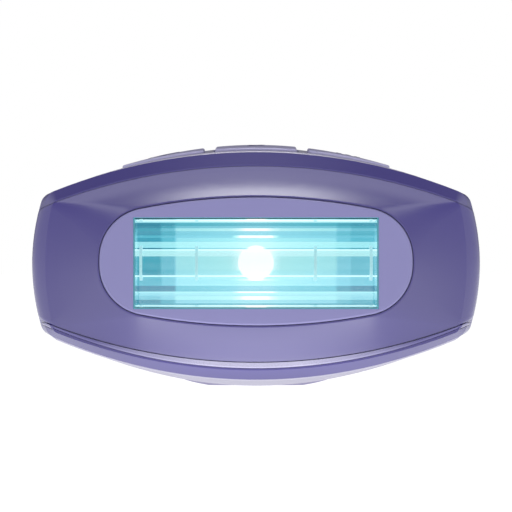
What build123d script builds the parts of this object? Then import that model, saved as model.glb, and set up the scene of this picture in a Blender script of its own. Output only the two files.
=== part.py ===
"""Flash epilator handset: a hollow handle that carries a pull-off lamp head.

The head holds a flash tube in a faceted reflector, behind a filter and a window glass that a
sprung, oval contact plate frames. The handle holds the keys, the boards, the flash capacitor,
the fan and the power inlet.

Frame, in millimetres: X across the head, +Y from the treatment face back to the tail, and +Z up
on the key side. The origin is the middle of the window, on the contact plate's front face.
"""

import os
from typing import NamedTuple

from build123d import *

# Driving dimensions
WINDOW_W, WINDOW_H = 33.0, 12.3  # opening in the contact plate
WALL = 1.8  # moulded shells of the handle
HEAD_WALL = 1.6  # moulded shell of the head
FIT = 0.15  # gap between moulded pieces that come apart
PLATE_GAP = 0.1  # sliding gap around the contact plate
CLOSE = 0.03  # gap between pieces that stay together
PLATE_TRAVEL = 1.0  # how far the contact plate presses in
KEY_TRAVEL = 0.5  # stroke of each key

# Stations along Y in the head
PLATE_BACK = 3.0
LIP_Y = 0.3  # front of the mask, around the contact plate
RIM_Y = 2.6  # where the mask's dished front meets its rim
RIM_FULL_Y = 5.2  # where the mask's rounded sides reach their full width
MASK_BACK = 6.4
SHOULDER_Y = 4.6  # where the head shell's bevel ends
CHASSIS_FRONT, CHASSIS_STEP, CHASSIS_BACK = 4.4, 9.0, 20.5
GLASS_FRONT, GLASS_STEP, GLASS_BACK = 1.2, 5.25, 6.9
GASKET_BACK, FILTER_BACK = 7.5, 9.0
REFLECTOR_FRONT = 9.1
TUBE_Y = 13.2
BASE_FRONT, BASE_BACK = 22.4, 25.6
HEAD_BACK = 25.7
PLUG_BACK = 35.0

# Stations along Y in the handle
COLLAR_FRONT, COLLAR_BACK = 26.0, 27.2
DOCK_FRONT, DOCK_BACK = 26.05, 28.6
SOCKET_FLOOR, SOCKET_BACK = 38.2, 40.0
KEY_FRONT, KEY_BACK = 29.9, 43.9
KEY_Y = 36.9
LEVEL_Y = 48.5
FAN_FRONT, FAN_BACK = 116.0, 124.0
HANDLE_BACK = 165.0
JACK_FRONT, JACK_MOUTH = 158.5, 171.8
TAIL_BACK = 174.4

# Sections of the lamp bay
GLASS_HALF_X, GLASS_HALF_Z = 18.0, 7.5
LIGHT_HALF_X, LIGHT_HALF_Z = 16.3, 5.95
SPRING_X, SPRING_Z = 20.7, 3.0
TUBE_R, TUBE_BORE_R = 1.9, 1.4
PLUG_HALF_X, PLUG_HALF_Z = 19.0, 7.5
PIN_X = 12.0  # side contacts of the head, the third is in the middle
PIN_R = 1.2
MAGNET_X, MAGNET_R = 24.3, 3.0

# Keys: three in a row across the handle
KEY_W = 11.5
KEY_PITCH = 13.1
KEY_PROUD = 0.4
KEY_BOARD_TOP = 10.3
SWITCH_TOP = 11.15

# Handle internals
BOARD_BOTTOM, BOARD_TOP = 6.0, 7.6
CAN_R, CAN_AT = 9.2, (-7.9, -4.5)  # the flash capacitor, and its axis in x and z
FAN_Z = -1.8
FAN_R, ROTOR_R, FAN_HUB_R, FAN_AXLE_R = 11.6, 10.2, 4.4, 0.8
BLADES = 7
FRONT_POST, REAR_POST = (21.0, 56.0), (12.5, 140.0)  # x and y of the case screws
POST_R = 2.8
PAD_FLAT_Z = -18.1  # the plane that the handset rests on


class Outline(NamedTuple):
    """A section across Y: four shallow arcs that meet in rounded corners."""

    half_w: float
    top: float
    bottom: float
    corner_x: float
    corner_up: float
    corner_down: float
    radius: float

    def grown(self, by):
        sizes = [size + by for size in self]
        sizes[-1] = max(sizes[-1], 0.3)
        return Outline(*sizes)

    def narrowed(self, by):
        """The same four arcs, with the corners and sides moved inwards."""

        def height(middle, corner_z, x):
            drop = middle - corner_z
            arc_r = (self.corner_x**2 + drop**2) / (2 * drop)
            return middle - arc_r + (arc_r**2 - x**2) ** 0.5

        corner_x = self.corner_x - by
        up = height(self.top, self.corner_up, corner_x)
        down = height(self.bottom, self.corner_down, corner_x)
        return self._replace(half_w=self.half_w - by, corner_x=corner_x, corner_up=up, corner_down=down)

    def towards(self, other, share):
        return Outline(*[a + (b - a) * share for a, b in zip(self, other)])

    def at(self, y):
        """The outline as a face in the plane at y."""
        up_left, up_right = (-self.corner_x, self.corner_up), (self.corner_x, self.corner_up)
        low_right, low_left = (self.corner_x, -self.corner_down), (-self.corner_x, -self.corner_down)
        arcs = [
            ThreePointArc(up_left, (0, self.top), up_right),
            ThreePointArc(up_right, (self.half_w, 0), low_right),
            ThreePointArc(low_right, (0, -self.bottom), low_left),
            ThreePointArc(low_left, (-self.half_w, 0), up_left),
        ]
        face = make_face(Curve() + arcs)
        return facing(y) * fillet(face.vertices(), self.radius)

    def slab(self, y0, y1):
        return extrude(self.at(y1), amount=y1 - y0)


# Outlines of the head and of the handle's stations
RIM = Outline(30.3, 13.05, 13.3, 29.35, 7.3, 7.55, 1.0)
OVAL = Outline(21.1, 8.9, 8.4, 19.4, 6.5, 6.1, 6.8)
BEVEL = Outline(30.25, 13.3, 14.45, 29.2, 7.6, 8.45, 0.9)
HEAD = Outline(30.3, 15.0, 15.75, 28.9, 9.1, 9.3, 1.9)
TRIM = Outline(30.3, 13.05, 14.35, 29.3, 7.3, 8.15, 0.9)
COLLAR = Outline(30.3, 15.75, 16.5, 28.9, 9.7, 10.4, 2.6)
TAIL = Outline(18.5, 10.6, 13.0, 14.8, 6.2, 8.0, 5.5)
HANDLE = [
    (COLLAR_BACK, COLLAR.grown(-FIT)),
    (45.0, Outline(28.0, 16.6, 17.75, 25.5, 10.4, 11.8, 7.0)),
    (85.0, Outline(24.5, 15.6, 17.75, 21.0, 9.6, 11.8, 7.0)),
    (125.0, Outline(21.5, 13.4, 17.4, 17.8, 8.0, 11.0, 6.5)),
    (HANDLE_BACK, TAIL),
]


def facing(y):
    """The plane at y that faces the skin, with its own x and y along X and Z."""
    return Plane(origin=(0, y, 0), x_dir=(1, 0, 0), z_dir=(0, -1, 0))


def block(x0, x1, y0, y1, z0, z1):
    middle = Pos((x0 + x1) / 2, (y0 + y1) / 2, (z0 + z1) / 2)
    return middle * Box(x1 - x0, y1 - y0, z1 - z0)


def centred(half_x, y0, y1, half_z):
    """A block centred on X and Z."""
    return block(-half_x, half_x, y0, y1, -half_z, half_z)


def rod(axis, radius, start, end, at):
    """A cylinder along an axis: at is its other two coordinates, in X, Y, Z order."""
    middle, length = (start + end) / 2, end - start
    if axis == "X":
        return Pos(middle, *at) * Rot(0, 90, 0) * Cylinder(radius, length)
    if axis == "Y":
        return Pos(at[0], middle, at[1]) * Rot(90, 0, 0) * Cylinder(radius, length)
    return Pos(*at, middle) * Cylinder(radius, length)


def tower(width, depth, centre, z0, z1, radius=1.2):
    """An upright prism with rounded corners."""
    return extrude(Pos(*centre, z0) * RectangleRounded(width, depth, radius), amount=z1 - z0)


def handle_solid(grown=0.0):
    """The handle's outer form, grown outwards or inwards."""
    return loft([outline.grown(grown).at(y) for y, outline in HANDLE])


def skin(outer, inner):
    """The layer of the handle's form between two depths."""
    return handle_solid(outer) - handle_solid(inner)


def mirrored_x(shape):
    return shape + mirror(shape, Plane.YZ)


# Head: covers and contact plate


def contact_plate():
    plate = OVAL.grown(-PLATE_GAP / 2).slab(0, 2.1)
    plate = fillet(plate.faces().sort_by(Axis.Y)[0].edges(), 0.3)
    plate += OVAL.grown(0.8).slab(2.0, PLATE_BACK)
    return plate - centred(WINDOW_W / 2, -1, 4, WINDOW_H / 2)


def rounded_sides(outline, y):
    """Sections whose sides round off towards the front, while the top and bottom stay straight."""
    steps = [(0, 1.9), (0.5, 1.05), (1.3, 0.35), (2.6, 0)]
    return [outline.narrowed(by).at(y + back) for back, by in steps]


def front_mask():
    lip, rim = OVAL.grown(0.25), RIM.narrowed(1.9)
    dish = [(0, LIP_Y), (0.25, 1.01), (0.5, 1.635), (0.75, 2.164), (1, RIM_Y)]
    form = loft([lip.towards(rim, share).at(y) for share, y in dish])
    form += loft(rounded_sides(RIM, RIM_Y))
    form += RIM.slab(RIM_FULL_Y, MASK_BACK)
    hollow = loft([OVAL.grown(2.0).at(2.2), rim.grown(-1.7).at(4.0)], ruled=True)
    hollow += loft([rim.grown(-1.7).at(4.0), RIM.grown(-1.6).at(MASK_BACK + 0.1)], ruled=True)
    opening = OVAL.grown(PLATE_GAP / 2).slab(-1, 2.2)
    flange_pocket = OVAL.grown(1.1).slab(1.7, MASK_BACK + 1)
    return form - opening - flange_pocket - hollow


def head_shell():
    bevel = [BEVEL.narrowed(1.9).at(RIM_Y + 0.1), HEAD.narrowed(0.7).at(SHOULDER_Y), HEAD.at(MASK_BACK)]
    shell = loft(bevel, ruled=True) + HEAD.slab(MASK_BACK, HEAD_BACK)
    shell -= RIM.grown(CLOSE).slab(-1, MASK_BACK + 0.12)
    shell -= RIM.grown(-1.2).slab(MASK_BACK, 8.0)
    shell -= HEAD.grown(-HEAD_WALL).slab(7.6, HEAD_BACK + 1)
    shell -= lower_trim(CLOSE)
    for x, z in head_screw_places():
        post = rod("Y", 1.25, 8.5, BASE_FRONT - 0.1, (x, z))
        rib = block(x - 0.5, x + 0.5, 8.5, BASE_FRONT - 0.1, *sorted((z, z * 1.24)))
        shell += (post + rib) & HEAD.grown(-0.5).slab(8, HEAD_BACK)
        shell -= rod("Y", 0.82, 12.0, BASE_FRONT, (x, z))
    return shell


def lower_trim(grown=0.0):
    """The glossy bead along the lower edge of the mask."""
    bead = TRIM.grown(grown)
    front = RIM_Y - 0.1 - grown
    places = [(-0.35, 1.9, front), (0, 1.6, front + 0.4), (0, 0.2, RIM_FULL_Y), (0, 0.2, 6.0 + grown)]
    strip = loft([bead.grown(size).narrowed(by).at(y) for size, by, y in places], ruled=True)
    strip -= RIM.grown(0.12 - grown).slab(1, 7)
    return strip - block(-40, 40, 0, 10, -8.1 + grown, 40)


# Head: optics


def lamp_chassis():
    body = centred(19.0, CHASSIS_FRONT, CHASSIS_STEP, 8.7)
    body += centred(22.6, 4.9, CHASSIS_STEP, 4.8)
    body += centred(20.0, CHASSIS_STEP, CHASSIS_BACK, 9.6)
    body += centred(27.2, CHASSIS_STEP, CHASSIS_BACK, 6.0)
    body -= centred(LIGHT_HALF_X + FIT, 4, 5.5, LIGHT_HALF_Z + FIT)
    body -= centred(GLASS_HALF_X + 0.1, 5.2, 9.5, GLASS_HALF_Z + 0.1)
    body -= centred(18.6, 9.0, 21, 8.2)
    body -= centred(26.2, 9.8, 21, 4.9)
    for x in (-SPRING_X, SPRING_X):
        body -= block(x - 1.1, x + 1.1, 4, 8.0, -1.25, 1.25)
        for z in (-SPRING_Z, SPRING_Z):
            body -= rod("Y", 1.4, 4, 8.4, (x, z))
    return body


def window_glass():
    light = centred(LIGHT_HALF_X, GLASS_FRONT, GLASS_STEP, LIGHT_HALF_Z)
    light = chamfer(light.faces().sort_by(Axis.Y)[0].edges(), 0.35)
    return light + centred(GLASS_HALF_X, GLASS_STEP, GLASS_BACK, GLASS_HALF_Z)


def glass_gasket():
    ring = centred(GLASS_HALF_X, GLASS_BACK, GASKET_BACK, GLASS_HALF_Z)
    return ring - centred(LIGHT_HALF_X, GLASS_BACK - 1, GASKET_BACK + 1, LIGHT_HALF_Z)


def filter_glass():
    return centred(GLASS_HALF_X, GASKET_BACK, FILTER_BACK, GLASS_HALF_Z)


def reflector():
    """A trough of flat facets around the tube, with a plate across each end."""
    outer = [(REFLECTOR_FRONT, 6.1), (9.8, 5.5), (10.5, 5.0), (11.4, 4.35)]
    half = outer + [(12.8, 3.7), (14.6, 2.95), (16.4, 2.05), (17.6, 0.9)]
    points = half + [(y, -z) for y, z in reversed(half)]
    inside = make_face(Polyline(*points, close=True))
    metal = offset(inside, 0.6, kind=Kind.INTERSECTION) - inside
    trough = extrude(Plane.YZ * metal, amount=17.5, both=True)
    cheeks = extrude(Plane.YZ * inside, amount=17.5, both=True)
    cheeks -= block(-16.9, 16.9, 0, 40, -10, 10)
    cheeks -= rod("X", TUBE_R + 0.2, -20, 20, (TUBE_Y, 0))
    return (trough + cheeks) - block(-20, 20, 0, REFLECTOR_FRONT, -10, 10)


def flash_tube():
    tube = rod("X", TUBE_R, -22, 22, (TUBE_Y, 0))
    tube -= rod("X", TUBE_BORE_R, -20, 20, (TUBE_Y, 0))
    return tube - rod("X", 0.62, -23, 23, (TUBE_Y, 0))


def tube_electrodes():
    lead = rod("X", 0.6, 13, 25.9, (TUBE_Y, 0))
    tip = rod("X", 1.25, 11.1, 13.9, (TUBE_Y, 0))
    return mirrored_x(lead + fillet(tip.edges(), 0.3))


def tube_boots():
    boot = rod("X", 3.2, 20.6, 25.8, (TUBE_Y, 0))
    boot = fillet(boot.edges(), 0.6)
    boot -= rod("X", TUBE_R + CLOSE, 20, 22.02, (TUBE_Y, 0))
    return mirrored_x(boot - rod("X", 0.62, 20, 27, (TUBE_Y, 0)))


def trigger_wire():
    """A bare wire that hoops the tube at each end and runs along its back."""
    wire = rod("X", 0.18, -15.7, 15.7, (TUBE_Y + TUBE_R + 0.28, 0))
    for x in (-15.7, -8.1, 8.1, 15.7):
        hoop = rod("X", TUBE_R + 0.5, x - 0.2, x + 0.2, (TUBE_Y, 0))
        wire += hoop - rod("X", TUBE_R + 0.05, x - 1, x + 1, (TUBE_Y, 0))
    return wire


# Head: switches, springs and rear


def contact_springs():
    """One return spring near each corner of the contact plate."""
    low, high = PLATE_BACK + 0.2, 8.2
    path = Helix(pitch=0.95, height=high - low, radius=1.0)
    coil = sweep(Plane(origin=path @ 0, z_dir=path % 0) * Circle(0.16), path=path)
    coil = Pos(0, low, 0) * Rot(-90, 0, 0) * coil
    places = [(x, z) for x in (-SPRING_X, SPRING_X) for z in (-SPRING_Z, SPRING_Z)]
    return Compound([Pos(x, 0, z) * coil for x, z in places])


def contact_switches():
    """Two microswitches that the pressed contact plate closes."""
    body = block(SPRING_X - 1.0, SPRING_X + 1.0, 5.1, 7.9, -1.15, 1.15)
    return mirrored_x(body + rod("Y", 0.5, PLATE_BACK + PLATE_TRAVEL + 0.1, 5.2, (SPRING_X, 0)))


def head_screw_places():
    return [(x, z) for x in (-7, 7) for z in (10.9, -11.2)]


def head_base():
    base = HEAD.grown(-HEAD_WALL - FIT).slab(BASE_FRONT, BASE_BACK)
    plug = centred(PLUG_HALF_X, BASE_BACK, PLUG_BACK, PLUG_HALF_Z)
    base += fillet(plug.edges().filter_by(Axis.Y), 1.5)
    for x in (-PIN_X, 0, PIN_X):
        base -= rod("Y", PIN_R + 0.02, BASE_FRONT - 1, PLUG_BACK + 1, (x, 0))
    for x in (-MAGNET_X, MAGNET_X):
        base -= rod("Y", MAGNET_R + CLOSE, BASE_BACK - 2.1, BASE_BACK + 1, (x, 0))
    for x, z in head_screw_places():
        base -= rod("Y", 1.0, BASE_FRONT - 1, BASE_BACK, (x, z))
        base -= rod("Y", 1.45, BASE_BACK - 1.5, BASE_BACK + 1, (x, z))
    return base


def head_screws():
    screws = []
    for x, z in head_screw_places():
        head = rod("Y", 1.3, BASE_BACK - 1.45, BASE_BACK - 0.2, (x, z))
        head -= block(x - 0.2, x + 0.2, BASE_BACK - 0.8, BASE_BACK, z - 0.9, z + 0.9)
        head -= block(x - 0.9, x + 0.9, BASE_BACK - 0.8, BASE_BACK, z - 0.2, z + 0.2)
        screws.append(head + rod("Y", 0.8, 13.0, BASE_BACK - 1.4, (x, z)))
    return Compound(screws)


def head_pins():
    pin = rod("Y", PIN_R, BASE_FRONT - 0.4, 42.0, (0, 0))
    pin = fillet(pin.edges().sort_by(Axis.Y)[-1], 0.6)
    return Compound([Pos(x, 0, 0) * pin for x in (-PIN_X, 0, PIN_X)])


def magnets(y0, y1):
    disc = rod("Y", MAGNET_R, y0, y1, (MAGNET_X, 0))
    return mirrored_x(chamfer(disc.edges().filter_by(GeomType.CIRCLE), 0.2))


# Handle: covers


def collar_ring():
    ring = COLLAR.slab(COLLAR_FRONT, COLLAR_BACK)
    ring = fillet(ring.faces().sort_by(Axis.Y)[0].edges(), 0.35)
    return ring - COLLAR.grown(-2.0).slab(COLLAR_FRONT - 1, COLLAR_BACK + 1)


def key_prism(x, grown=0.0, longer=0.0):
    depth = KEY_BACK - KEY_FRONT + 2 * (grown + longer)
    centre = (x, (KEY_FRONT + KEY_BACK) / 2)
    return tower(KEY_W + 2 * grown, depth, centre, 2, 25, 1.6 + grown)


def key(x):
    """A key cap that follows the handle's curve, with a lip at its front and back."""
    cap = (handle_solid(KEY_PROUD) - handle_solid(-WALL - 0.5)) & key_prism(x)
    cap = fillet(cap.faces().sort_by(Axis.Z)[-1].edges(), 0.3)
    lip = skin(-WALL - 0.1, -WALL - 0.5) & key_prism(x, longer=0.8)
    stem = rod("Z", 1.2, SWITCH_TOP + KEY_TRAVEL + 0.05, 14.5, (x, KEY_Y))
    return cap + lip + stem


def level_prisms(grown=0.0):
    bars = [tower(3.4 + grown, 1.6 + grown, (x, LEVEL_Y), 9.4, 25, 0.5) for x in range(-10, 11, 5)]
    return Part() + bars


def level_windows():
    """Five light guides, flush with the handle's top."""
    return handle_solid() & level_prisms()


def posts():
    """The four screw posts, before they are split between the two covers."""
    solid = Part()
    for x, y in (FRONT_POST, REAR_POST):
        solid += mirrored_x(rod("Z", POST_R, -20, 20, (x, y)))
    return solid & handle_solid(-0.5)


def board_stops():
    """Ribs under the top that hold the main board down."""
    ribs = Part() + [block(12.0, 15.2, y, y + 1.4, BOARD_TOP + CLOSE, 20) for y in (62, 100)]
    return mirrored_x(ribs) & handle_solid(-0.5)


def cradles():
    """Ribs that hold up the capacitor, the transformer, the trigger coil and the power inlet."""
    ribs = [block(-17, 1, y, y + 1.4, -20, -8) for y in (62, 84)]
    ribs += [block(5, 15, y, y + 1.4, -20, -10 - CLOSE) for y in (55, 58)]
    ribs += [block(6, 14, y, y + 1.4, -20, -6 - CLOSE) for y in (72, 79)]
    ribs += [block(-6, 6, 159.4, 160.8, -20, -5 - CLOSE)]
    return (Part() + ribs - rod("Y", CAN_R + CLOSE, 40, 110, CAN_AT)) & handle_solid(-0.5)


def upper_shell():
    shell = skin(0, -WALL) + posts() + board_stops()
    for x in (-KEY_PITCH, 0, KEY_PITCH):
        shell -= key_prism(x, grown=0.3)
    shell -= level_prisms(2 * CLOSE)
    for x, y in (FRONT_POST, REAR_POST):
        shell -= mirrored_x(rod("Z", 1.22, -1, 6.5, (x, y)))
    return shell & block(-40, 40, 20, 170, 0.05, 30)


def pad_prism(grown=0.0):
    return tower(22 + 2 * grown, 68 + 2 * grown, (0, 94), -25, -5, 8 + grown)


def lower_shell():
    shell = skin(0, -WALL) + posts() + cradles()
    shell -= pad_prism(CLOSE) - handle_solid(-0.8)
    for x, y in (FRONT_POST, REAR_POST):
        shell -= mirrored_x(rod("Z", 1.25, -20, 1, (x, y)))
        shell -= mirrored_x(rod("Z", 2.0, -20, -6.36, (x, y)))
    for step in range(5):
        intake = tower(16, 1.6, (0, 132 + 4 * step), -20, -5, 0.79)
        shell -= intake
        exhaust_y = 34 + 3 * step
        slot = tower(1.5, 6.5, (0, 0), 20, 40, 0.74)
        shell -= mirrored_x(Pos(0, exhaust_y, -5.5) * Rot(0, 90, 0) * Rot(0, 0, 90) * slot)
    return shell & block(-40, 40, 20, 170, -30, -0.05)


def grip_pad():
    pad = (handle_solid(0.6) & pad_prism()) - handle_solid(-0.8)
    pad &= block(-40, 40, 0, 170, PAD_FLAT_Z, 0)
    for step in range(12):
        pad -= tower(15, 0.9, (0, 64 + 5 * step), PAD_FLAT_Z - 1, PAD_FLAT_Z + 0.35, 0.44)
    return pad


def tail_cap():
    cap = loft([TAIL.at(HANDLE_BACK + 0.1), TAIL.grown(-0.7).at(170.0), TAIL.grown(-3.2).at(TAIL_BACK)])
    cap -= loft([TAIL.grown(-3.4).at(HANDLE_BACK), TAIL.grown(-3.8).at(JACK_MOUTH + 0.05)])
    spigot = TAIL.grown(-2.0).slab(161.5, HANDLE_BACK + 0.6)
    cap += spigot - TAIL.grown(-3.4).slab(161, HANDLE_BACK + 1)
    return cap - rod("Y", 4.0, JACK_MOUTH - 1, TAIL_BACK + 1, (0, 0))


def case_screws():
    screw = rod("Z", 1.85, -7.9, -6.4, (0, 0)) + rod("Z", 1.15, -6.5, 5.5, (0, 0))
    screw -= block(-1.2, 1.2, -0.25, 0.25, -8.5, -7.2) + block(-0.25, 0.25, -1.2, 1.2, -8.5, -7.2)
    corners = [(sign * x, y) for x, y in (FRONT_POST, REAR_POST) for sign in (-1, 1)]
    return Compound([Pos(x, y, 0) * screw for x, y in corners])


def exhaust_screens():
    return skin(-WALL - 0.05, -WALL - 0.45) & block(-40, 40, 31.5, 48.5, -9.8, -1.2)


def intake_screen():
    return skin(-WALL - 0.05, -WALL - 0.45) & block(-9.6, 9.6, 129.5, 150.5, -25, -5)


# Handle: dock for the head


def dock_frame():
    frame = COLLAR.grown(-2.4).slab(DOCK_FRONT, DOCK_BACK)
    socket = centred(PLUG_HALF_X + 1.6, DOCK_BACK - 1, SOCKET_BACK, PLUG_HALF_Z + 1.5)
    frame += fillet(socket.edges().filter_by(Axis.Y), 2.5)
    pocket = centred(PLUG_HALF_X + 0.3, DOCK_FRONT - 1, SOCKET_FLOOR, PLUG_HALF_Z + 0.3)
    frame -= fillet(pocket.edges().filter_by(Axis.Y), 1.5)
    for x in (-PIN_X, 0, PIN_X):
        frame -= rod("Y", 2.0 + CLOSE, SOCKET_FLOOR - 1, SOCKET_BACK + 1, (x, 0))
    for x in (-MAGNET_X, MAGNET_X):
        frame -= rod("Y", MAGNET_R + CLOSE, DOCK_FRONT - 1, DOCK_FRONT + 2.1, (x, 0))
    return frame


def dock_sockets():
    tube = rod("Y", 2.0, SOCKET_FLOOR + 0.1, 44.0, (0, 0)) - rod("Y", 1.3, SOCKET_FLOOR, 43.0, (0, 0))
    return Compound([Pos(x, 0, 0) * tube for x in (-PIN_X, 0, PIN_X)])


# Handle: electronics


def key_board():
    return block(-16, 16, 31.0, 43.5, KEY_BOARD_TOP - 0.9, KEY_BOARD_TOP)


def key_switches():
    switch = block(-1.8, 1.8, KEY_Y - 1.8, KEY_Y + 1.8, KEY_BOARD_TOP, SWITCH_TOP - 0.2)
    switch += rod("Z", 0.9, SWITCH_TOP - 0.3, SWITCH_TOP, (0, KEY_Y))
    return Compound([Pos(x, 0, 0) * switch for x in (-KEY_PITCH, 0, KEY_PITCH)])


def main_board():
    board = block(-15.5, 15.5, 41.5, 106, BOARD_BOTTOM, BOARD_TOP)
    return fillet(board.edges().filter_by(Axis.Z), 1.0)


def level_leds():
    led = block(-1.4, 1.4, LEVEL_Y - 0.7, LEVEL_Y + 0.7, BOARD_TOP, BOARD_TOP + 0.8)
    return Compound([Pos(x, 0, 0) * led for x in range(-10, 11, 5)])


def board_chips():
    chips = [
        block(-4, 4, 58, 66, BOARD_TOP, BOARD_TOP + 1.0),
        block(-11, -7, 70, 76, BOARD_TOP, BOARD_TOP + 1.4),
        block(5, 12, 72, 78, BOARD_TOP, BOARD_TOP + 2.2),
        block(-12, -6, 84, 92, BOARD_TOP, BOARD_TOP + 2.8),
    ]
    small = [rod("Z", 2.0, BOARD_TOP, BOARD_TOP + 4.0, (x, 96)) for x in (0, 6)]
    return Compound(chips + small)


def flash_capacitor():
    can = rod("Y", CAN_R, 50, 98, CAN_AT)
    can = fillet(can.edges().filter_by(GeomType.CIRCLE), 0.8)
    return can - Pos(CAN_AT[0], 53, CAN_AT[1]) * Rot(90, 0, 0) * Torus(CAN_R + 0.4, 0.9)


def transformer_core():
    frame = block(3, 17, 54, 60, -10, 4) - block(5, 15, 54, 60, -8, 2)
    return frame + block(8.5, 11.5, 54, 60, -8, 2)


def transformer_coil():
    coil = block(5.2, 14.8, 51, 63, -7.8, 1.8)
    coil = fillet(coil.edges().filter_by(Axis.Z), 2.0)
    return coil - block(8.4, 11.6, 53.9, 60.1, -9, 3)


def trigger_coil():
    case = fillet(block(5, 15, 70, 82, -6, 4).edges(), 0.8)
    return case + rod("Z", 0.5, 3.9, BOARD_BOTTOM, (8, 76)) + rod("Z", 0.5, 3.9, BOARD_BOTTOM, (12, 76))


def wire(points, bend, radius):
    """An insulated lead along straight runs joined by tangent bends."""
    path = FilletPolyline(*points, radius=bend)
    return sweep(Plane(origin=path @ 0, z_dir=path % 0) * Circle(radius), path=path)


def lamp_leads():
    """One lead from each dock socket up to the main board."""
    start, turn = 44.05, 47.4
    routes = [[(x, start, 0), (x, turn, 0), (x, turn, BOARD_BOTTOM)] for x in (-PIN_X, 0, PIN_X)]
    return Compound([wire(route, 2.0, 0.7) for route in routes])


def power_leads():
    """Two leads from the inlet, round the fan, to the main board."""
    route = [(2.5, JACK_FRONT), (2.5, 134), (14.2, 127), (14.2, 103.5)]
    points = [(x, y, 0) for x, y in route] + [(14.2, 103.5, BOARD_BOTTOM)]
    return mirrored_x(wire(points, 2.5, 0.6))


# Handle: fan and inlet


def fan_bulkhead():
    """The plate that the fan is fixed to; its outline is clear of the tapering shells."""
    rear = HANDLE[3][1].towards(TAIL, 0.05).grown(-WALL - 0.5)
    plate = rear.slab(FAN_FRONT - 2, FAN_FRONT - 0.1)
    plate -= rod("Y", ROTOR_R + 0.5, 100, 130, (0, FAN_Z))
    return plate - mirrored_x(rod("Y", 0.9, 100, 130, (14.2, 0)))


def fan_frame():
    ring = rod("Y", FAN_R, FAN_FRONT, FAN_BACK, (0, FAN_Z)) - rod("Y", ROTOR_R + 0.4, 100, 130, (0, FAN_Z))
    ring += rod("Y", FAN_HUB_R, 122.2, FAN_BACK, (0, FAN_Z))
    for turn in (90, 210, 330):
        spoke = block(3.5, FAN_R - 0.5, 122.4, FAN_BACK, -0.6, 0.6)
        ring += Pos(0, 0, FAN_Z) * Rot(0, turn, 0) * spoke
    return ring - rod("Y", FAN_AXLE_R + 0.01, 120, 130, (0, FAN_Z))


def fan_axle():
    return rod("Y", FAN_AXLE_R, 118.0, FAN_BACK, (0, FAN_Z))


def fan_rotor():
    hub = rod("Y", FAN_HUB_R, 117.0, 121.8, (0, FAN_Z))
    hub = fillet(hub.edges().sort_by(Axis.Y)[0], 0.8)
    for n in range(BLADES):
        blade = Pos(7.0, 119.4, 0) * Rot(38, 0, 0) * Box(6.2, 5.0, 0.7)
        hub += Pos(0, 0, FAN_Z) * Rot(0, n * 360 / BLADES, 0) * blade
    hub &= rod("Y", ROTOR_R, 116.5, 121.9, (0, FAN_Z))
    return hub - rod("Y", FAN_AXLE_R + 0.04, 117.9, 123, (0, FAN_Z))


def dc_jack():
    jack = centred(5.0, JACK_FRONT, JACK_MOUTH, 5.0)
    jack -= rod("Y", 2.75, 162.0, JACK_MOUTH + 1, (0, 0))
    return jack - rod("Y", 1.37, 160.0, 163, (0, 0))


def jack_pin():
    pin = rod("Y", 1.05, 161.0, 171.0, (0, 0))
    pin = fillet(pin.edges().sort_by(Axis.Y)[-1], 0.3)
    return pin + rod("Y", 1.35, 160.0, 162.0, (0, 0))


NODES = {
    "contact_plate": contact_plate,
    "front_mask": front_mask,
    "head_shell": head_shell,
    "lower_trim": lower_trim,
    "lamp_chassis": lamp_chassis,
    "window_glass": window_glass,
    "glass_gasket": glass_gasket,
    "filter_glass": filter_glass,
    "reflector": reflector,
    "flash_tube": flash_tube,
    "tube_electrodes": tube_electrodes,
    "tube_boots": tube_boots,
    "trigger_wire": trigger_wire,
    "contact_springs": contact_springs,
    "contact_switches": contact_switches,
    "head_base": head_base,
    "head_screws": head_screws,
    "head_pins": head_pins,
    "head_magnets": lambda: magnets(BASE_BACK - 2.05, BASE_BACK),
    "collar_ring": collar_ring,
    "upper_shell": upper_shell,
    "lower_shell": lower_shell,
    "power_key": lambda: key(-KEY_PITCH),
    "flash_key": lambda: key(0),
    "level_key": lambda: key(KEY_PITCH),
    "level_windows": level_windows,
    "grip_pad": grip_pad,
    "tail_cap": tail_cap,
    "case_screws": case_screws,
    "exhaust_screens": exhaust_screens,
    "intake_screen": intake_screen,
    "dock_frame": dock_frame,
    "dock_magnets": lambda: magnets(DOCK_FRONT, DOCK_FRONT + 2.05),
    "dock_sockets": dock_sockets,
    "key_board": key_board,
    "key_switches": key_switches,
    "main_board": main_board,
    "level_leds": level_leds,
    "board_chips": board_chips,
    "flash_capacitor": flash_capacitor,
    "transformer_core": transformer_core,
    "transformer_coil": transformer_coil,
    "trigger_coil": trigger_coil,
    "lamp_leads": lamp_leads,
    "power_leads": power_leads,
    "fan_bulkhead": fan_bulkhead,
    "fan_frame": fan_frame,
    "fan_axle": fan_axle,
    "fan_rotor": fan_rotor,
    "dc_jack": dc_jack,
    "jack_pin": jack_pin,
}


def main():
    os.makedirs("parts", exist_ok=True)
    for name, build in NODES.items():
        export_step(build(), f"parts/{name}.step")


main()
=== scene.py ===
"""Looks of the light epilator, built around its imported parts.

Everything is in metres in the parts' own frame: X across the head, +Y from the treatment face
back to the tail, +Z up on the key side, with the origin in the middle of the lit window.
"""

import math

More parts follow.
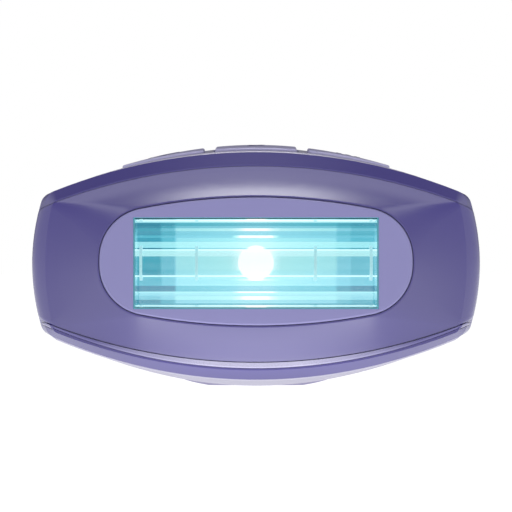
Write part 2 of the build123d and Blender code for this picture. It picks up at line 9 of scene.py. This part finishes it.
import bpy
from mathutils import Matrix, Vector


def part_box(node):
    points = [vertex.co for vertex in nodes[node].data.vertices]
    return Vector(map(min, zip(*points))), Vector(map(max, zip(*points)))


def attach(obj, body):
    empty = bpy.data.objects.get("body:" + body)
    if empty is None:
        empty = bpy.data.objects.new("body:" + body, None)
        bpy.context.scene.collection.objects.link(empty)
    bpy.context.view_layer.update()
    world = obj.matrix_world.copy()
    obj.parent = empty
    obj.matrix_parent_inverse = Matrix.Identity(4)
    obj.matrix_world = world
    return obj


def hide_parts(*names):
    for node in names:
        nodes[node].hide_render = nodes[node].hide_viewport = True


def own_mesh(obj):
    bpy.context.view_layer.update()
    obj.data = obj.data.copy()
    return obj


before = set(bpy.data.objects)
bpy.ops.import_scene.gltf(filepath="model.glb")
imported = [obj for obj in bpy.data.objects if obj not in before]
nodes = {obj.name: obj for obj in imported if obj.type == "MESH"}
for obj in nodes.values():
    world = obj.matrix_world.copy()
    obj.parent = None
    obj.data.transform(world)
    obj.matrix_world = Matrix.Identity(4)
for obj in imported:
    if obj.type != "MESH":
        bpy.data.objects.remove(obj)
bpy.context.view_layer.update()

MM = 0.001
FLOOR_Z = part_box("grip_pad")[0].z - 0.2 * MM
FRONT_LIGHT, SIDE_LIGHT = 0.06, 0.65


# Shader maths and nodes


class Signal:
    """A shader socket that can be used in Python arithmetic."""

    def __init__(self, paint, socket):
        self.paint = paint
        self.socket = socket

    def math(self, operation, other=0.0, swapped=False):
        pair = (other, self) if swapped else (self, other)
        return self.paint.add("Math", {"operation": operation}, dict(enumerate(pair)))

    def __add__(self, other):
        return self.math("ADD", other)

    def __sub__(self, other):
        return self.math("SUBTRACT", other)

    def __rsub__(self, other):
        return self.math("SUBTRACT", other, swapped=True)

    def __mul__(self, other):
        return self.math("MULTIPLY", other)

    def __truediv__(self, other):
        return self.math("DIVIDE", other)

    def __abs__(self):
        return self.math("ABSOLUTE")

    def below(self, other):
        return self.math("LESS_THAN", other)

    def above(self, other):
        return self.math("GREATER_THAN", other)

    def power(self, other):
        return self.math("POWER", other)

    def most(self, other):
        return self.math("MAXIMUM", other)


class Paint:
    """One material and its nodes."""

    def __init__(self, name, **constants):
        self.material = bpy.data.materials.new(name)
        self.material.use_nodes = True
        self.tree = self.material.node_tree
        self.surface = self.tree.nodes["Principled BSDF"]
        for socket, value in constants.items():
            self.feed(self.surface.inputs[socket.replace("_", " ")], value)

    def feed(self, socket, value):
        if isinstance(value, Signal):
            self.tree.links.new(value.socket, socket)
        elif hasattr(socket.default_value, "__len__") and hasattr(value, "__len__"):
            size = len(socket.default_value)
            socket.default_value = (tuple(value) + (1.0,))[:size]
        else:
            socket.default_value = value

    def add(self, kind, settings=None, inputs=None, output=0):
        """Adds a node: its settings first, then the values or links of its sockets."""
        node = self.tree.nodes.new("ShaderNode" + kind)
        for name, value in (settings or {}).items():
            if name == "stops":
                self.set_stops(node.color_ramp.elements, value)
            elif name == "hold":
                node.color_ramp.interpolation = "CONSTANT" if value else "LINEAR"
            else:
                setattr(node, name, value)
        for name, value in (inputs or {}).items():
            self.feed(node.inputs[name], value)
        return Signal(self, node.outputs[output])

    @staticmethod
    def set_stops(elements, stops):
        """Colours a fresh ramp: its two ends first, then the rest in order between them."""
        elements[0].position, elements[1].position = stops[0][0], stops[-1][0]
        elements[0].color, elements[1].color = (*stops[0][1], 1.0), (*stops[-1][1], 1.0)
        for place, colour in stops[1:-1]:
            elements.new(place).color = (*colour, 1.0)

    def place(self, axis=None):
        """Object coordinates, or one of them."""
        point = self.add("TexCoord", output="Object")
        if axis is None:
            return point
        return self.add("SeparateXYZ", inputs={0: point}, output=axis)

    def noise(self, scale, detail=3.0, roughness=0.5, stretch=(1, 1, 1)):
        point = self.add("Mapping", inputs={0: self.place(), "Scale": stretch})
        inputs = {"Vector": point, "Scale": scale, "Detail": detail, "Roughness": roughness}
        return self.add("TexNoise", inputs=inputs, output=0)

    def ramp(self, value, stops):
        return self.add("ValToRGB", {"stops": stops}, {0: value})

    def span(self, value, low, high, start=0.0, end=1.0):
        """Value's stretch from low to high, spread over start to end."""
        inputs = {0: value, 1: low, 2: high, 3: start, 4: end}
        return self.add("MapRange", inputs=inputs)

    def mix(self, share, first, second):
        inputs = {0: share, 6: first, 7: second}
        return self.add("Mix", {"data_type": "RGBA"}, inputs, output=2)

    def bump(self, height, strength, distance):
        inputs = {"Strength": strength, "Distance": distance, "Height": height}
        self.feed(self.surface.inputs["Normal"], self.add("Bump", inputs=inputs))


def tint(colour, factor):
    return tuple(min(1.0, channel * factor) for channel in colour)


def srgb(red, green, blue):
    """A colour given as it looks, as linear light."""
    return tuple(((channel / 255 + 0.055) / 1.055) ** 2.4 for channel in (red, green, blue))


# Finishes

GRAIN = 2500  # texture scale of moulded plastic's fine grain


def moulded(name, colour, rough=0.3, depth=0.02, coat=0.0, wear=0.1, polish=0.08, coat_ior=1.5):
    """Injection-moulded plastic: fine grain, slight cloudiness and handling marks."""
    paint = Paint(name, Coat_Weight=coat, Coat_Roughness=polish, Coat_IOR=coat_ior)
    cloud = paint.noise(45, detail=4)
    colours = paint.mix(cloud, tint(colour, 0.95), tint(colour, 1.05))
    paint.feed(paint.surface.inputs["Base Color"], colours)
    smear = paint.span(paint.noise(160, detail=5, roughness=0.6), 0.45, 0.75)
    paint.feed(paint.surface.inputs["Roughness"], smear * wear + rough)
    paint.bump(paint.noise(GRAIN, detail=2), 0.35, depth * MM)
    return paint.material


def metal(name, colour, rough=0.25, stretch=(1, 1, 1), depth=0.006):
    """Bare or plated metal, with fine working marks along the stretched axis."""
    paint = Paint(name, Metallic=1.0)
    marks = paint.noise(900, detail=4, roughness=0.7, stretch=stretch)
    paint.feed(paint.surface.inputs["Base Color"], paint.mix(marks, tint(colour, 0.85), colour))
    paint.feed(paint.surface.inputs["Roughness"], marks * 0.2 + (rough - 0.08))
    paint.bump(marks, 0.4, depth * MM)
    return paint.material


def elastomer(name, colour, rough=0.62):
    """Rubber or silicone: matt, with a little dust and a fine pore."""
    paint = Paint(name, Specular_IOR_Level=0.35)
    dust = paint.noise(70, detail=6, roughness=0.65)
    shade = paint.mix(dust, tint(colour, 0.88), tint(colour, 1.1))
    paint.feed(paint.surface.inputs["Base Color"], shade)
    paint.feed(paint.surface.inputs["Roughness"], dust * 0.16 + (rough - 0.06))
    paint.bump(paint.noise(3800, detail=2), 0.3, 0.03 * MM)
    return paint.material


def clear(name, colour, rough=0.02, ior=1.46):
    """Polished glass or clear plastic, with faint wiping marks."""
    paint = Paint(name, Transmission_Weight=1.0, IOR=ior)
    paint.feed(paint.surface.inputs["Base Color"], colour)
    wipe = paint.span(paint.noise(220, detail=5, roughness=0.6, stretch=(1, 1, 3)), 0.5, 0.8)
    paint.feed(paint.surface.inputs["Roughness"], wipe * 0.04 + rough)
    return paint.material


MASK_COLOUR = srgb(74, 66, 144)
PLATE_COLOUR = srgb(150, 147, 201)
PEARL = srgb(203, 200, 224)
KEY_COLOUR = srgb(200, 196, 236)
BLACK = srgb(28, 28, 31)
STEEL = srgb(196, 197, 202)
GOLD = srgb(226, 190, 110)
BOARD_GREEN = srgb(24, 78, 50)

# Painted reflections of the lit lamp at each height: (z in mm, brightness, how much painted shade
# dims the ends, how much painted highlight the middle gains). Between two heights the next facet
# starts.
GLOW_STEPS = [
    (-6.0, 0.62, 0.0, 0.0),
    (-5.7, 0.18, 0.05, 0.0),
    (-5.5, 0.52, 0.42, 0.0),
    (-5.0, 0.72, 0.30, 0.35),
    (-4.55, 0.60, 0.10, 0.0),
    (-4.1, 0.64, 0.05, 0.75),
    (-3.9, 0.30, 0.48, 0.0),
    (-3.1, 0.60, 0.34, 0.0),
    (-2.45, 0.60, 0.34, 0.30),
    (-2.2, 0.64, 0.34, 0.0),
    (-1.9, 0.88, 0.02, 0.1),
    (-1.65, 0.66, 0.46, 0.15),
    (-1.0, 0.70, 0.44, 0.35),
    (0.9, 0.80, 0.05, 0.2),
    (1.65, 0.92, 0.02, 0.1),
    (1.85, 0.55, 0.50, 0.0),
    (2.05, 0.76, 0.10, 0.0),
    (2.9, 0.60, 0.46, 0.0),
    (3.4, 0.48, 0.20, 1.1),
    (3.75, 0.44, 0.32, 0.0),
    (4.35, 0.72, 0.52, 0.3),
    (4.7, 0.42, 0.32, 0.0),
    (5.0, 0.26, 0.20, 0.0),
    (5.45, 0.68, 0.05, 0.0),
]
GLOW_SPAN = 6.2  # the steps run from -6.2 mm to 6.2 mm


def stairs(paint, height, column):
    """A grey ramp that holds each step's number until the next step."""
    stops = []
    for step in GLOW_STEPS:
        level = (step[column],) * 3
        stops.append(((step[0] + GLOW_SPAN) / (2 * GLOW_SPAN), level))
    return paint.add("ValToRGB", {"stops": stops, "hold": True}, {0: height})


def lit(name, strength=1.15):
    """Bright metal or quartz as the burning lamp shows it: painted reflections of the arc banded along
    the tube, with painted shade at the ends and painted highlights and a painted halo in the middle.
    """
    paint = Paint(name, Roughness=0.25, Emission_Strength=strength)
    x, z = paint.place("X"), paint.place("Z")
    height = z / (2 * GLOW_SPAN * MM) + 0.5
    level, painted_end_shade, painted_middle_highlight = (stairs(paint, height, column) for column in (1, 2, 3))
    out = abs(x)
    # Painted shade: darkening towards both ends, in steps, deeper on the left.
    inner_edge = paint.span(out, 10.8 * MM, 11.2 * MM, 0, 0.45)
    outer_edge = paint.span(out, 12.8 * MM, 13.1 * MM, 0, 0.25)
    left_more = paint.span(x, -3 * MM, 3 * MM, 1.35, 0.85)
    ends = (inner_edge + outer_edge) * left_more + paint.span(out, 3 * MM, 10.5 * MM, 0, 0.12)
    # Painted highlights: a bright streak and a faint glow in the middle, and a painted halo round the
    # arc.
    middle = paint.span(out, 0.6 * MM, 3.4 * MM, 1, 0)
    wide = paint.span(out, 0, 9 * MM, 0.05, 0)
    spot = ((x / MM) * (x / MM) + (z / MM) * (z / MM)).power(0.5)
    painted_halo = paint.span(spot, 1.6, 2.5, 1.3, 0).most(0)
    # Painted reflections: faint streaks running along the tube.
    painted_streaks = paint.noise(260, detail=2, stretch=(0.03, 1, 1)) - 0.5
    total = level - painted_end_shade * ends + painted_middle_highlight * middle + wide + painted_streaks * 0.16
    marks = paint.noise(9000, detail=1) * 0.02
    colours = [
        (0.0, srgb(20, 108, 138)),
        (0.25, srgb(76, 165, 184)),
        (0.48, srgb(128, 197, 214)),
        (0.72, srgb(168, 226, 230)),
        (0.9, srgb(212, 244, 246)),
        (1.0, (1, 1, 1)),
    ]
    colour = paint.ramp(total + painted_halo + marks, colours)
    paint.feed(paint.surface.inputs["Emission Color"], colour)
    paint.feed(paint.surface.inputs["Base Color"], paint.mix(0.94, colour, (0.01, 0.03, 0.04)))
    return paint.material


def glowing(name, colour):
    """A surface so close to the arc that it shines with the arc's light."""
    paint = Paint(name, Roughness=0.4, Emission_Strength=0.85)
    shade = paint.mix(paint.noise(3000), tint(colour, 0.9), colour)
    paint.feed(paint.surface.inputs["Base Color"], tint(colour, 0.3))
    paint.feed(paint.surface.inputs["Emission Color"], shade)
    return paint.material


def circuit_board(name):
    """Green solder resist over copper tracks, with tinned pads."""
    paint = Paint(name, Coat_Weight=0.3)
    point = paint.add("Mapping", inputs={0: paint.place(), "Scale": (330, 330, 330)})
    inputs = {"Vector": point, "Mortar Size": 0.06, "Scale": 1.0}
    tracks = paint.add("TexBrick", {"offset": 0.35}, inputs, output=1)
    cells = paint.add("TexVoronoi", {"feature": "F1"}, {"Vector": point, "Scale": 0.45})
    dots = cells.below(0.16)
    base = paint.mix(tracks, BOARD_GREEN, tint(BOARD_GREEN, 1.9))
    paint.feed(paint.surface.inputs["Base Color"], paint.mix(dots, base, srgb(205, 208, 212)))
    paint.feed(paint.surface.inputs["Metallic"], dots * 0.9)
    paint.feed(paint.surface.inputs["Roughness"], paint.noise(300) * 0.15 + 0.3)
    paint.bump(tracks, 0.4, 0.02 * MM)
    return paint.material


def woven(name, colour, pitch):
    """Fine wire mesh: open between the wires."""
    paint = Paint(name, Metallic=0.9, Roughness=0.45)
    openings = []
    for axis in ("Y", "Z"):
        across = abs((paint.place(axis) / (pitch * MM)).math("FRACT") - 0.5)
        openings.append(across.below(0.32))
    wires = 1 - openings[0] * openings[1]
    shade = paint.mix(paint.noise(4000), tint(colour, 0.6), colour)
    paint.feed(paint.surface.inputs["Base Color"], shade)
    paint.feed(paint.surface.inputs["Alpha"], wires)
    paint.bump(wires, 0.5, 0.05 * MM)
    return paint.material


def wound(name, colour, pitch, axis):
    """Wire or tape wound in turns across an axis."""
    paint = Paint(name, Coat_Weight=0.4)
    turn = abs((paint.place(axis) / (pitch * MM)).math("FRACT") - 0.5)
    # Painted shade: each turn darkens towards the grooves between turns.
    shade = paint.mix(turn, colour, tint(colour, 0.55))
    paint.feed(paint.surface.inputs["Base Color"], shade)
    paint.feed(paint.surface.inputs["Roughness"], paint.noise(500) * 0.2 + 0.25)
    paint.bump(turn, 0.6, 0.1 * MM)
    return paint.material


def sleeved_can(name):
    """Shrink sleeve in dark blue, with a pale stripe down the negative side."""
    paint = Paint(name, Coat_Weight=0.5, Coat_Roughness=0.12)
    stripe = paint.place("Z").above(1.6 * MM)
    shade = paint.mix(stripe, srgb(38, 44, 92), srgb(186, 190, 206))
    cloud = paint.noise(90, detail=4)
    paint.feed(paint.surface.inputs["Base Color"], paint.mix(cloud * 0.2, shade, (0.5, 0.5, 0.55)))
    paint.feed(paint.surface.inputs["Roughness"], cloud * 0.2 + 0.25)
    paint.bump(paint.noise(1200), 0.3, 0.03 * MM)
    return paint.material


def light_guide(name):
    """Frosted light guides: the first three of the row are lit."""
    paint = Paint(name, Emission_Strength=0.9)
    share = paint.place("X").below(2.5 * MM)
    frost = paint.noise(1500)
    shade = paint.mix(frost, srgb(214, 222, 232), srgb(232, 238, 244))
    glow = paint.mix(share, (0, 0, 0), srgb(120, 226, 240))
    paint.feed(paint.surface.inputs["Base Color"], shade)
    paint.feed(paint.surface.inputs["Emission Color"], glow)
    paint.feed(paint.surface.inputs["Roughness"], frost * 0.2 + 0.35)
    return paint.material


def bead_with_painted_highlight(name):
    """Plated bead with a painted highlight: pale pearl in the middle, deepening to the mask's colour
    towards its ends.
    """
    paint = Paint(name, Coat_Weight=1.0, Coat_Roughness=0.08)
    ends = paint.span(abs(paint.place("X")), 6 * MM, 22 * MM)
    haze = paint.noise(140, detail=4)
    # Painted highlight: the pale middle stands in for the bright floor's reflection.
    shade = paint.mix(ends, srgb(214, 211, 244), srgb(96, 90, 158))
    shade = paint.mix(haze * 0.1, shade, srgb(150, 146, 190))
    paint.feed(paint.surface.inputs["Base Color"], shade)
    paint.feed(paint.surface.inputs["Metallic"], 0.8 - ends * 0.5)
    paint.feed(paint.surface.inputs["Roughness"], haze * 0.08 + 0.1)
    paint.bump(paint.noise(1800, detail=2), 0.25, 0.003 * MM)
    return paint.material


def finish_nodes():
    """Gives every CAD node its finish."""
    gloss = {"rough": 0.36, "depth": 0.003, "coat": 0.8, "wear": 0.05, "polish": 0.27, "coat_ior": 1.8}
    looks = {
        "contact_plate": moulded("contact_plate", PLATE_COLOUR, 0.42, coat=0.08, depth=0.01),
        "front_mask": moulded("front_mask", MASK_COLOUR, **gloss),
        "head_shell": moulded("head_shell", MASK_COLOUR, **gloss),
        "lower_trim": bead_with_painted_highlight("lower_trim"),
        "head_base": moulded("head_base", srgb(168, 165, 196), 0.45, depth=0.04),
        "collar_ring": moulded("collar_ring", PEARL, 0.16, depth=0.004, coat=0.8),
        "upper_shell": moulded("upper_shell", PEARL, 0.3, coat=0.25),
        # Painted shade: the lower shell is the same pearl darkened to 0.8.
        "lower_shell": moulded("lower_shell", tint(PEARL, 0.8), 0.5),
        "power_key": moulded("power_key", KEY_COLOUR, 0.3, coat=0.2),
        "flash_key": moulded("flash_key", KEY_COLOUR, 0.3, coat=0.2),
        "level_key": moulded("level_key", KEY_COLOUR, 0.3, coat=0.2),
        "tail_cap": moulded("tail_cap", MASK_COLOUR, **gloss),
        "lamp_chassis": glowing("lamp_chassis", srgb(112, 204, 220)),
        "dock_frame": moulded("dock_frame", srgb(110, 108, 128), 0.5, depth=0.04),
        "contact_switches": moulded("contact_switches", BLACK, 0.45),
        "key_switches": moulded("key_switches", BLACK, 0.45),
        "fan_bulkhead": moulded("fan_bulkhead", srgb(92, 92, 98), 0.5),
        "fan_frame": moulded("fan_frame", BLACK, 0.42),
        "fan_rotor": moulded("fan_rotor", tint(BLACK, 1.6), 0.36),
        "dc_jack": moulded("dc_jack", BLACK, 0.34),
        "board_chips": moulded("board_chips", BLACK, 0.5, depth=0.04),
        "trigger_coil": moulded("trigger_coil", tint(BLACK, 1.4), 0.3, coat=0.4),
        "transformer_core": moulded("transformer_core", srgb(52, 52, 56), 0.62, depth=0.06),
        "level_leds": moulded("level_leds", srgb(240, 232, 190), 0.25, coat=0.6),
        "grip_pad": elastomer("grip_pad", srgb(178, 174, 204)),
        "glass_gasket": elastomer("glass_gasket", srgb(196, 204, 206)),
        "tube_boots": elastomer("tube_boots", srgb(222, 222, 216)),
        "lamp_leads": elastomer("lamp_leads", srgb(186, 34, 34), 0.5),
        "power_leads": elastomer("power_leads", srgb(34, 34, 38), 0.5),
        "tube_electrodes": metal("tube_electrodes", tint(STEEL, 0.8), stretch=(0.1, 1, 1)),
        "trigger_wire": glowing("trigger_wire", srgb(196, 242, 248)),
        "contact_springs": metal("contact_springs", STEEL, stretch=(1, 0.2, 1)),
        "head_screws": metal("head_screws", STEEL, 0.3),
        "case_screws": metal("case_screws", STEEL, 0.3),
        "head_magnets": metal("head_magnets", srgb(206, 208, 214), 0.16),
        "dock_magnets": metal("dock_magnets", srgb(206, 208, 214), 0.16),
        "head_pins": metal("head_pins", GOLD, 0.2, stretch=(1, 0.1, 1)),
        "dock_sockets": metal("dock_sockets", GOLD, 0.22, stretch=(1, 0.1, 1)),
        "jack_pin": metal("jack_pin", srgb(214, 210, 200), 0.2, stretch=(1, 0.1, 1)),
        "fan_axle": metal("fan_axle", STEEL, 0.18, stretch=(1, 0.1, 1)),
        "exhaust_screens": woven("exhaust_screens", srgb(70, 70, 76), 0.55),
        "intake_screen": woven("intake_screen", srgb(70, 70, 76), 0.55),
        "window_glass": clear("window_glass", (0.97, 1.0, 1.0)),
        "filter_glass": clear("filter_glass", (0.94, 1.0, 1.0), 0.03),
        "reflector": lit("reflector"),
        "flash_tube": lit("flash_tube"),
        "key_board": circuit_board("key_board"),
        "main_board": circuit_board("main_board"),
        "flash_capacitor": sleeved_can("flash_capacitor"),
        "transformer_coil": wound("transformer_coil", srgb(222, 186, 70), 0.8, "Z"),
        "level_windows": light_guide("level_windows"),
    }
    unfinished = sorted(set(nodes) - set(looks))
    assert not unfinished, unfinished
    for node, material in looks.items():
        nodes[node].material_slots[0].material = material


finish_nodes()


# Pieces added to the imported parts


def begin(shape, name, **settings):
    """A fresh primitive, alone and selected."""
    bpy.ops.object.select_all(action="DESELECT")
    getattr(bpy.ops.mesh, "primitive_" + shape + "_add")(**settings)
    piece = bpy.context.object
    piece.name = name
    return piece


def choose(piece):
    """Makes the piece the only one selected."""
    bpy.ops.object.select_all(action="DESELECT")
    piece.select_set(True)
    bpy.context.view_layer.objects.active = piece


def freeze(piece):
    """Puts the piece's place, turn and size into its mesh."""
    choose(piece)
    bpy.ops.object.transform_apply(location=True, rotation=True, scale=True)


def apply(piece, kind, **settings):
    modifier = piece.modifiers.new(kind.lower(), kind)
    for name, value in settings.items():
        setattr(modifier, name, value)
    choose(piece)
    bpy.ops.object.modifier_apply(modifier=modifier.name)


def join(pieces, name):
    """Makes one named piece of several."""
    bpy.ops.object.select_all(action="DESELECT")
    for piece in pieces:
        piece.select_set(True)
    bpy.context.view_layer.objects.active = pieces[0]
    bpy.ops.object.join()
    pieces[0].name = name
    return pieces[0]


def settle(piece, body, material):
    """Puts the piece's place into its mesh, and hands it to its body."""
    freeze(piece)
    bpy.ops.object.mode_set(mode="EDIT")
    bpy.ops.mesh.select_all(action="SELECT")
    bpy.ops.mesh.normals_make_consistent(inside=False)
    bpy.ops.object.mode_set(mode="OBJECT")
    bpy.ops.object.shade_smooth_by_angle(angle=math.radians(35))
    piece.data.materials.clear()
    piece.data.materials.append(material)
    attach(piece, body)
    return piece


ICON_LIFT = 0.02 * MM  # how far an icon's print stands over its key
INK_DEPTH = 0.03 * MM
DROP_Z = 0.03  # where flat prints are drawn, well above the keys


def lay_on(piece, node):
    """Drops a flat print onto its key and gives it the thickness of the ink."""
    freeze(piece)
    apply(
        piece, "SHRINKWRAP", target=nodes[node], wrap_method="PROJECT", use_project_z=True,
        use_negative_direction=True, use_positive_direction=False, offset=ICON_LIFT,
    )
    apply(piece, "SOLIDIFY", thickness=INK_DEPTH, offset=1.0)
    return piece


def flat_ring(x, y, radius, width):
    """A flat ring of ink in the XY plane."""
    outer = (radius + width / 2) * MM
    disc = begin("circle", "disc", vertices=64, radius=outer, fill_type="NGON", location=(x, y, DROP_Z))
    bpy.ops.object.mode_set(mode="EDIT")
    bpy.ops.mesh.select_all(action="SELECT")
    bpy.ops.mesh.inset(thickness=width * MM)
    bpy.ops.mesh.delete(type="FACE")
    bpy.ops.object.mode_set(mode="OBJECT")
    return disc


def flat_bar(x, y, width, length, turn=0.0):
    """A flat bar of ink, cut fine enough to follow the key."""
    place = (x, y, DROP_Z)
    piece = begin("grid", "bar", x_subdivisions=3, y_subdivisions=16, size=1, location=place)
    piece.rotation_euler.z = turn
    piece.scale = (width * MM, length * MM, 1)
    return piece


def flattened(pieces, name):
    """Joins flat strokes into one print."""
    for piece in pieces:
        freeze(piece)
    return join(pieces, name)


def middle_of(node):
    low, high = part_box(node)
    return (low.x + high.x) / 2, (low.y + high.y) / 2


def make_icons():
    ink = moulded("icon_ink", srgb(96, 90, 140), 0.5, depth=0.002)
    x, y = middle_of("power_key")
    strokes = [flat_ring(x, y, 2.0, 0.45), flat_bar(x, y - 1.9 * MM, 0.5, 2.4)]
    power = flattened(strokes, "power_icon")
    x, y = middle_of("flash_key")
    slant, cross = math.radians(-24), math.radians(70)
    strokes = [
        flat_bar(x - 0.45 * MM, y - 1.2 * MM, 0.55, 3.0, slant),
        flat_bar(x, y, 0.55, 2.2, cross),
        flat_bar(x + 0.45 * MM, y + 1.2 * MM, 0.55, 3.0, slant),
    ]
    flash = flattened(strokes, "flash_icon")
    x, y = middle_of("level_key")
    strokes = []
    for step in range(3):
        bar_x, bar_y = x + (step - 1) * 1.3 * MM, y + (1 - step) * 0.45 * MM
        strokes.append(flat_bar(bar_x, bar_y, 0.7, 1.6 + 0.9 * step))
    level = flattened(strokes, "level_icon")
    for icon, key in ((power, "power_key"), (flash, "flash_key"), (level, "level_key")):
        settle(lay_on(icon, key), key, ink)


def make_inlet_bezel():
    """The bright ring pressed into the tail around the inlet."""
    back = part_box("tail_cap")[1].y
    piece = begin(
        "torus", "inlet_bezel", major_radius=4.35 * MM, minor_radius=0.3 * MM, major_segments=96,
        minor_segments=16, location=(0, back, 0), rotation=(math.pi / 2, 0, 0),
    )
    settle(piece, "handle", metal("inlet_bezel", STEEL, 0.2))


def make_arc():
    """The burning arc inside the tube: a rod of even thickness with rounded ends."""
    low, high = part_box("flash_tube")
    y = (low.y + high.y) / 2
    z = (low.z + high.z) / 2
    piece = begin(
        "cylinder", "arc", vertices=48, radius=0.9 * MM, depth=34 * MM, location=(0, y, z),
        rotation=(0, math.pi / 2, 0), end_fill_type="NGON",
    )
    bpy.ops.object.transform_apply(location=False, rotation=True, scale=False)
    apply(piece, "BEVEL", width=0.6 * MM, segments=5)
    settle(piece, "lamp_head", glowing("arc", srgb(250, 255, 255)))


def coil_spring(place, radius, wire, height, turns=5):
    """A closed coil of round wire standing along Y from its place."""
    coil = begin("circle", "coil", vertices=12, radius=wire, rotation=(math.pi / 2, 0, 0))
    bpy.ops.object.transform_apply(location=False, rotation=True, scale=False)
    bpy.ops.object.mode_set(mode="EDIT")
    bpy.ops.mesh.select_all(action="SELECT")
    bpy.ops.transform.translate(value=(radius, 0, 0))
    bpy.ops.object.mode_set(mode="OBJECT")
    pitch = (height - 2 * wire) / turns
    apply(
        coil, "SCREW", axis="Z", angle=2 * math.pi, screw_offset=pitch, iterations=turns,
        steps=28, render_steps=28,
    )
    bpy.ops.object.mode_set(mode="EDIT")
    bpy.ops.mesh.select_all(action="SELECT")
    bpy.ops.mesh.remove_doubles(threshold=0.001 * MM)
    bpy.ops.mesh.fill_holes(sides=0)
    bpy.ops.object.mode_set(mode="OBJECT")
    coil.rotation_euler.x = -math.pi / 2
    coil.location = place
    return coil


def make_springs():
    """The four springs behind the contact plate."""
    low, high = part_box("contact_springs")
    wire, radius = 0.16 * MM, 1.0 * MM
    x, z = high.x - radius - wire, high.z - radius - wire
    height = high.y - low.y
    places = [(sx * x, low.y + wire, sz * z) for sx in (-1, 1) for sz in (-1, 1)]
    coils = [coil_spring(place, radius, wire, height) for place in places]
    springs = join(coils, "contact_springs_coils")
    steel = metal("spring_steel", STEEL, stretch=(1, 0.2, 1))
    settle(springs, "lamp_head", steel)
    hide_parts("contact_springs")
    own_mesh(springs)


make_icons()
make_inlet_bezel()
make_springs()
make_arc()


# Stage, light and camera


def soft_box(name, place, aim, size, power, colour=(1, 1, 1)):
    bpy.ops.object.light_add(type="AREA", location=place)
    light = bpy.context.object
    light.name = name
    light.data.shape = "RECTANGLE"
    light.data.size, light.data.size_y = size
    light.data.energy = power
    light.data.color = colour
    light.visible_camera = False
    direction = Vector(aim) - Vector(place)
    light.rotation_euler = direction.to_track_quat("-Z", "Y").to_euler()


def make_stage():
    bpy.ops.object.select_all(action="DESELECT")
    bpy.ops.mesh.primitive_plane_add(size=8, location=(0, 0, FLOOR_Z))
    floor = bpy.context.object
    floor.name = "floor"
    paint = Paint("floor", Base_Color=(0.12, 0.12, 0.12), Roughness=0.8)
    paint.feed(paint.surface.inputs["Emission Color"], (1.0, 1.0, 1.0))
    paint.feed(paint.surface.inputs["Emission Strength"], 1.0)
    floor.data.materials.append(paint.material)


def make_world():
    """White to the eye; to the object, brighter to the sides than in front and overhead."""
    world = bpy.data.worlds.new("studio")
    bpy.context.scene.world = world
    world.use_nodes = True
    tree = world.node_tree
    background = tree.nodes["Background"]
    background.inputs["Color"].default_value = (1, 1, 1, 1)
    direction = tree.nodes.new("ShaderNodeTexCoord")
    split = tree.nodes.new("ShaderNodeSeparateXYZ")
    dome = tree.nodes.new("ShaderNodeMapRange")
    seen = tree.nodes.new("ShaderNodeLightPath")
    strength = tree.nodes.new("ShaderNodeMix")
    sideways = tree.nodes.new("ShaderNodeMath")
    sideways.operation = "ABSOLUTE"
    reach = {"From Min": 0.3, "From Max": 0.8, "To Min": FRONT_LIGHT, "To Max": SIDE_LIGHT}
    for socket, value in reach.items():
        dome.inputs[socket].default_value = value
    strength.inputs["B"].default_value = 1.0
    tree.links.new(direction.outputs["Generated"], split.inputs[0])
    tree.links.new(split.outputs["X"], sideways.inputs[0])
    tree.links.new(sideways.outputs[0], dome.inputs["Value"])
    tree.links.new(dome.outputs[0], strength.inputs["A"])
    tree.links.new(seen.outputs["Is Camera Ray"], strength.inputs["Factor"])
    tree.links.new(strength.outputs[0], background.inputs["Strength"])


def make_light():
    bpy.context.scene.view_settings.view_transform = "Standard"
    make_world()
    soft_box("front_high", (0, -0.132, 0.5335), (0, 0, 0), (0.17, 0.12), 0.62)
    soft_box("front", (0, -0.5, 0.6), (0, 0, 0), (0.9, 0.3), 1.3)
    under = (0, -2 * MM, FLOOR_Z + 0.3 * MM)
    soft_box("under_lip", under, (0, 2 * MM, 0), (0.036, 0.003), 0.0008)


def make_camera():
    sensor = 36
    distance = 0.6
    across = 68.7 * MM  # width in view at the lit window
    bpy.ops.object.camera_add(location=(0, -distance, 0.97 * MM), rotation=(math.pi / 2, 0, 0))
    camera = bpy.context.object
    camera.data.sensor_width = sensor
    camera.data.lens = sensor * distance / across
    camera.data.clip_start = 0.01
    bpy.context.scene.camera = camera


make_stage()
make_light()
make_camera()
